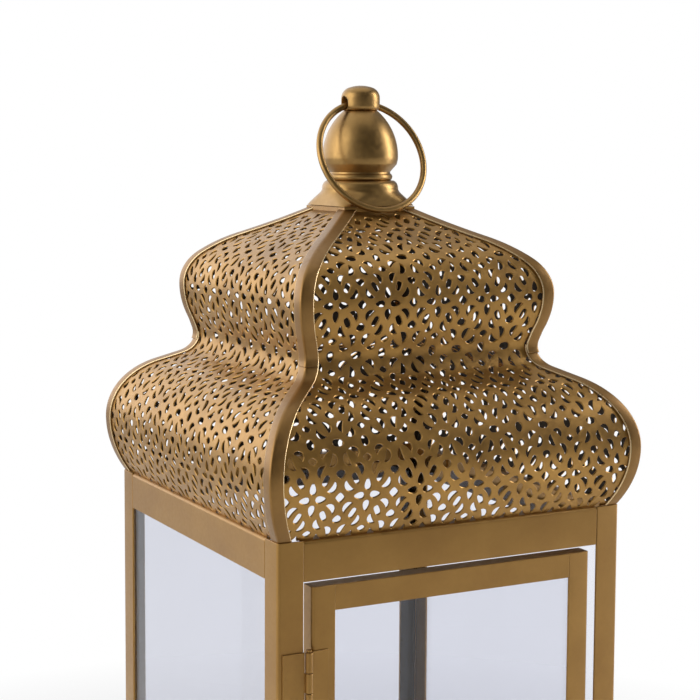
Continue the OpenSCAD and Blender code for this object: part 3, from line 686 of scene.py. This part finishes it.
def pierced_sheet():
    """The bent, pierced panel of the front side: the plan carried onto the outline, with a rolled
    edge of EDGE_ROLL round each hole, a wall through the sheet and the same plan behind it."""
    tiny, mitre_limit = 1e-9, 1.5
    flat, faces = pierced_plan()
    n = len(flat)
    edges = faces[:, [0, 1, 1, 2, 2, 0]].reshape(-1, 2)
    key = np.sort(edges, 1) @ np.array([n, 1])
    _, index, count = np.unique(key, return_index=True, return_counts=True)
    rim = edges[index[count == 1]]
    border = np.unique(rim)
    way = flat[rim[:, 1]] - flat[rim[:, 0]]
    out = np.stack([way[:, 1], -way[:, 0]], 1) / np.maximum(np.hypot(*way.T), tiny)[:, None]
    push = np.zeros((n, 2))
    np.add.at(push, rim[:, 0], out)
    np.add.at(push, rim[:, 1], out)
    size = np.hypot(*push.T)
    push /= np.maximum(size, tiny)[:, None]
    push *= np.clip(2 / np.maximum(size, tiny), 1, mitre_limit)[:, None]
    half = outline_at(flat[:, 1], RIB_T)[0]
    hip = np.abs(flat[:, 0]) > half - 0.01
    end = (flat[:, 1] < 1e-4) | (flat[:, 1] > ROOF_LENGTH - 1e-4)
    push[hip | end] = 0

    def layer(which, inset, depth):
        """The chosen points, moved by inset along push and bent onto the outline at a depth."""
        u = flat[which, 0] + inset * push[which, 0]
        s = flat[which, 1] + inset * push[which, 1]
        r, z = outline_at(np.clip(s, 0, ROOF_LENGTH), depth)
        u = np.where(hip[which], np.sign(u) * (r - SLIP), u)
        return np.stack([u, -r, BODY_TOP + z], 1)

    every = np.arange(n)
    inner = np.setdiff1d(every, border)
    lip = layer(border, 0, RIB_T + EDGE_ROLL)
    back = layer(border, 0, RIB_T + PANEL_T)
    front = layer(every, -EDGE_ROLL, RIB_T)
    points = np.concatenate([front, lip, back, layer(inner, 0, RIB_T + PANEL_T)])
    to_lip, to_back = np.zeros(n, int), np.zeros(n, int)
    to_lip[border] = n + np.arange(len(border))
    to_back[border] = n + len(border) + np.arange(len(border))
    to_back[inner] = n + 2 * len(border) + np.arange(len(inner))
    a, b = rim.T
    walls = [np.stack([a, to_lip[a], to_lip[b], b], 1),
             np.stack([to_lip[a], to_back[a], to_back[b], to_lip[b]], 1)]
    # behind marks the back faces, which take the painted-shade material
    behind = np.repeat([0, 1, 0], [len(faces), len(faces), 2 * len(rim)])
    faces = faces.tolist() + to_back[faces[:, ::-1]].tolist() + np.concatenate(walls).tolist()
    return points, faces, behind.tolist()


def build_panels(material, inside):
    """Four bent panels, lacquered outside; their back faces take a near-black brown that is painted
    shade for the dark inside of the roof.
    """
    points, faces, behind = pierced_sheet()
    for quarter, side in enumerate(SIDES):
        obj = new_piece("pierced_panel_" + side, turned(points, quarter), faces, material)
        finish_smooth(obj, 32)
        # the second material, inside, is painted shade on the back faces
        obj.data.materials.append(inside)
        obj.data.polygons.foreach_set("material_index", behind)
        place(obj, "lantern", "pierced_gold", "roof_panel_" + side)


def rib_points(s, lift):
    """A folded strip over the front left hip, one row per length s: both legs RIB_W wide, with the
    fold rounded by RIB_BEND and the free edges by RIB_EDGE, raised off the outline by lift."""
    bend, edge = RIB_BEND, RIB_EDGE
    r, z = outline_at(s, -lift)
    ri, zi = outline_at(s, RIB_T - SLIP - lift)
    re, ze = outline_at(s, edge - lift)
    turn = np.radians(np.linspace(270, 180, FOLD_STEPS))
    roll = np.radians(np.linspace(15, 90, ROLL_STEPS + 1))
    rows = []
    for t in roll[:-1]:
        f, g = math.cos(t), math.sin(t)
        rows.append((RIB_W - edge + edge * f - r, -(re + (r - re) * g), ze + (z - ze) * g))
    rows += [(RIB_W - edge - r, -r, z), (RIB_W / 2 - r, -r, z)]
    rows += [(bend - r + bend * math.cos(a), bend - r + bend * math.sin(a), z) for a in turn]
    rows += [(-r, RIB_W / 2 - r, z), (-r, RIB_W - edge - r, z)]
    for t in roll[:-1][::-1]:
        f, g = math.cos(t), math.sin(t)
        rows.append((-(re + (r - re) * g), RIB_W - edge + edge * f - r, ze + (z - ze) * g))
    rows += [(-ri, RIB_W - r, zi), (-ri, -ri, zi), (RIB_W - r, -ri, zi)]
    return np.stack([np.stack(np.broadcast_arrays(*row), -1) for row in rows], 1) + (0, 0, BODY_TOP)


def closed_tube(name, rows, material, highlight_material, quarter):
    """Rings of points joined into a tube with a flat cap at each end; the free edges, which are the
    first and last ROLL_STEPS columns of the outside, take the highlight material, a painted
    highlight."""
    count, columns = rows.shape[:2]
    faces = grid_faces(count, columns, True).tolist()
    faces += [list(range(columns))[::-1], list(range((count - 1) * columns, count * columns))]
    obj = new_piece(name, turned(rows.reshape(-1, 3), quarter), faces, material)
    obj.data.materials.append(highlight_material)
    column = np.tile(np.arange(columns), count - 1)
    outside = columns - 3
    # edge marks the free edges' faces, which take the painted highlight
    edge = (column < ROLL_STEPS) | ((column >= outside - ROLL_STEPS - 1) & (column < outside - 1))
    obj.data.polygons.foreach_set("material_index", edge.astype(int).tolist() + [0, 0])
    return finish_smooth(merge_close(obj), 32)


def build_ribs(material, highlight_material):
    """At each hip a lower rib that ends just past the waist, and an upper one that starts just
    before it, lifted over the lower one's end and let down again along the run."""
    past, before = 1.5, 3.5
    step_up, run, fall = 0.7, 12, 0.7
    waist = np.interp(WAIST_Z, OUTLINE[:, 1], OUTLINE[:, 4])
    low = np.linspace(0.5, waist + past, 70)
    high = np.linspace(waist - before, ROOF_LENGTH, 90)
    lift = step_up * np.clip(1 - (high - high[0]) / run, 0, 1) ** fall
    for quarter, corner in enumerate(CORNERS):
        for part, node, s, off in (("rib_low_", "rib_lower_", low, np.zeros_like(low)),
                                   ("rib_high_", "rib_upper_", high, lift)):
            obj = closed_tube(part + corner, rib_points(s, off), material, highlight_material, quarter)
            place(add_bevel(obj, 0.2), "lantern", "frame_gold", node + corner)


# ---------- finial and ring ----------

def lathe(name, profile, material, height):
    """A profile of (radius, height) points turned about Z; it starts and ends on the axis."""
    angle = 2 * np.pi * np.arange(TURN_STEPS) / TURN_STEPS
    r, z = np.asarray(profile, float).T
    points = np.stack([r[:, None] * np.cos(angle), r[:, None] * np.sin(angle),
                       np.broadcast_to(z[:, None] + height, (len(r), TURN_STEPS))], -1)
    faces = grid_faces(len(r), TURN_STEPS, True).tolist()
    obj = merge_close(new_piece(name, points.reshape(-1, 3), faces, material))
    return finish_smooth(obj, 25)


def arc_line(centre, radius, start, end, n):
    """Points along an arc of a turned profile, from start to end degrees."""
    a = np.radians(np.linspace(start, end, n))
    return np.stack([centre[0] + radius * np.cos(a), centre[1] + radius * np.sin(a)], 1)


def skirt_rings(z, inset, segments):
    """Rings of the skirt: superellipses whose half-width runs in a cove from the square rim to the
    shoulder and then round it to the neck, and whose power falls from square to round."""
    square, round_power = 9, 2
    cove = np.clip(1 - z / SKIRT_SHOULDER_Z, 0, 1) ** 2
    over = np.clip((z - SKIRT_SHOULDER_Z) / (SKIRT_H - SKIRT_SHOULDER_Z + SKIRT_OVERRUN), 0, 1)
    low = SKIRT_SHOULDER_R + (RIM_HALF - SKIRT_SHOULDER_R) * cove
    high = NECK_R + (SKIRT_SHOULDER_R - NECK_R) * np.sqrt(1 - over ** 2)
    half = (np.where(z < SKIRT_SHOULDER_Z, low, high) - inset)[:, None]
    power = (round_power + (square - round_power) * cove)[:, None]
    a = 2 * np.pi * np.arange(segments) / segments
    c, s = np.abs(np.cos(a)), np.abs(np.sin(a))
    r = half / (c ** power + s ** power) ** (1 / power)
    height = np.broadcast_to(z[:, None], r.shape)
    return np.stack([r * np.cos(a), r * np.sin(a), height + RIM_Z], -1)


def build_skirt(material):
    """The skirt as one closed skin: up its outside, down the stud's bore, and out underneath."""
    segments = 160
    cove = np.linspace(0, SKIRT_SHOULDER_Z, 22)
    over = np.linspace(SKIRT_SHOULDER_Z + SKIRT_OVERRUN, SKIRT_H, 16)
    outer = skirt_rings(np.concatenate([cove, over]), 0, segments)
    inner = skirt_rings(np.linspace(SKIRT_H - SKIRT_T, 0, 20), SKIRT_T, segments)
    a = 2 * np.pi * np.arange(segments) / segments
    x, y = STUD_R * np.cos(a), STUD_R * np.sin(a)
    bore = [np.stack([x, y, np.full(segments, RIM_Z + z)], -1)[None]
            for z in (SKIRT_H, SKIRT_H - SKIRT_T)]
    rows = np.concatenate([outer, *bore, inner, outer[:1]])
    faces = grid_faces(len(rows), segments, True).tolist()
    obj = merge_close(new_piece("finial_skirt_cast", rows.reshape(-1, 3), faces, material))
    place(add_bevel(finish_smooth(obj, 40), 0.25), "lantern", "finial_gold", "finial_skirt")


def build_bulb(material):
    """The bulb: a bead on the skirt, a waisted foot, a crease and an ogive up to the knob."""
    bead, bead_turn = 2.1, 70.0
    bead_z = bead * math.sin(math.radians(bead_turn))
    foot_r, foot_z, foot_flare, foot_rise = NECK_R - 0.9, 2.2 * bead, 0.25, 0.4
    crease_r, crease_z, groove = BULB_R - 0.6, 9.0, 0.3
    widest_z = 13.0
    top_r = KNOB_R - 1.1
    rise = BULB_H - widest_z
    ogive = ((BULB_R - top_r) ** 2 + rise ** 2) / (2 * (BULB_R - top_r))
    end = math.degrees(math.asin(rise / ogive))
    profile = np.concatenate([
        [[0, 0]],
        arc_line((NECK_R + 0.3 - bead, bead_z), bead, -bead_turn, 60, 16),
        [[foot_r, foot_z], [foot_r + foot_flare, foot_z + foot_rise],
         [crease_r - 0.15, crease_z - groove], [crease_r + 0.03, crease_z + groove]],
        arc_line((BULB_R - ogive, widest_z), ogive, -2.5, end - 0.4, 40),
        [[top_r - 0.1, BULB_H], [0, BULB_H]],
    ])
    place(lathe("finial_bulb_turned", profile, material, BULB_Z), "lantern", "finial_gold",
          "finial_bulb")


def build_knob(material):
    """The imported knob, with its hole for the ring, shaded smooth."""
    place(copy_node("finial_knob", "finial_knob_turned", material, 34), "lantern", "finial_gold",
          "finial_knob")


def build_ring(material):
    """The ring: a circle of radius RING_R hung from the knob and leaning forward, with a wire of
    radius WIRE_R that swells a little at its brazed joint."""
    around, section = 220, 28
    joint_at, joint_width, joint_swell = 3.9, 0.06, 0.05
    a = 2 * np.pi * np.arange(around)[:, None] / around
    b = 2 * np.pi * np.arange(section)[None, :] / section
    swell = 1 + joint_swell * np.exp(-(np.mod(a - joint_at, 2 * np.pi) / joint_width) ** 2)
    r = RING_R + WIRE_R * swell * np.cos(b)
    x, y, z = r * np.sin(a), WIRE_R * swell * np.sin(b), r * np.cos(a) - RING_R
    lean = math.radians(RING_LEAN)
    points = np.stack([x, y * math.cos(lean) + z * math.sin(lean),
                       z * math.cos(lean) - y * math.sin(lean) + RING_Z], -1)
    rows = np.concatenate([points, points[:1]])
    faces = grid_faces(around + 1, section, True).tolist()
    obj = merge_close(new_piece("hanging_ring", rows.reshape(-1, 3), faces, material))
    place(finish_smooth(obj, 60), "ring", "finial_gold", "ring_handle")


# ---------- hardware and what stays as it was packed ----------

def build_hardware(material):
    """Hinges, hook, rivet and keeper stud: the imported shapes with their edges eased."""
    for node, body in (
            ("hinge_upper_frame_leaf", "lantern"), ("hinge_lower_frame_leaf", "lantern"),
            ("hinge_upper_pin", "lantern"), ("hinge_lower_pin", "lantern"),
            ("hinge_upper_door_leaf", "door"), ("hinge_lower_door_leaf", "door"),
            ("latch_rivet", "door"), ("latch_hook", "latch"), ("keeper_stud", "lantern")):
        obj = add_bevel(copy_node(node, node + "_eased", material), 0.15, angle=35)
        place(obj, body, "hardware_gold", node)


def dress(nodes, material):
    """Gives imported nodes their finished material."""
    for name in nodes:
        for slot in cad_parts[name].material_slots:
            slot.material = material


add_camera()
add_studio()
frame_gold = metal_paint("frame_gold_lacquer", (0.34, 0.168, 0.024), (0.375, 0.192, 0.030),
                         (0.41, 0.215, 0.037), 0.42, 0.75)
rib_gold = metal_paint("rib_gold_lacquer", (0.25, 0.122, 0.02), (0.29, 0.146, 0.026),
                       (0.33, 0.17, 0.034), 0.4, 0.6)
# painted highlight: a light gold on the ribs' rolled free edges, standing in for the bright lines
# where they catch the light
rib_edge_highlight = metal_paint("rib_edge_painted_highlight", (0.72, 0.52, 0.26), (0.8, 0.6, 0.32),
                        (0.86, 0.68, 0.4), 0.3, 0.4, 0.9)
sheet_gold = metal_paint("pierced_gold_lacquer", (0.31, 0.16, 0.028), (0.41, 0.215, 0.040),
                         (0.50, 0.27, 0.056), 0.36, 0.5)
# painted shade: a near-black brown on the panels' back faces, standing in for the dark inside of
# the roof
painted_shade_inside = metal_paint("inside_painted_shade", (0.028, 0.018, 0.009), (0.042, 0.028, 0.013),
                           (0.06, 0.04, 0.019), 0.65, 0.0, 0.3)
finial_gold = metal_paint("finial_satin_gold", (0.33, 0.19, 0.055), (0.36, 0.21, 0.063),
                          (0.4, 0.236, 0.074), 0.38, 0.35, 1.0, 0.000004)
glass = glass_material()
build_frame(frame_gold)
build_door(frame_gold)
build_panels(sheet_gold, painted_shade_inside)
build_ribs(rib_gold, rib_edge_highlight)
build_skirt(finial_gold)
build_bulb(finial_gold)
build_knob(finial_gold)
build_ring(finial_gold)
build_hardware(frame_gold)
dress(["glass_left", "glass_right", "glass_back", "door_glass"], glass)
dress(["floor_plate", "pane_clips", "door_clips", "door_stop", "roof_collar", "finial_strap",
       "finial_spacer"], frame_gold)
dress(["finial_stud", "finial_nut"], steel_material())
dress(["foot_pads"], rubber_material())
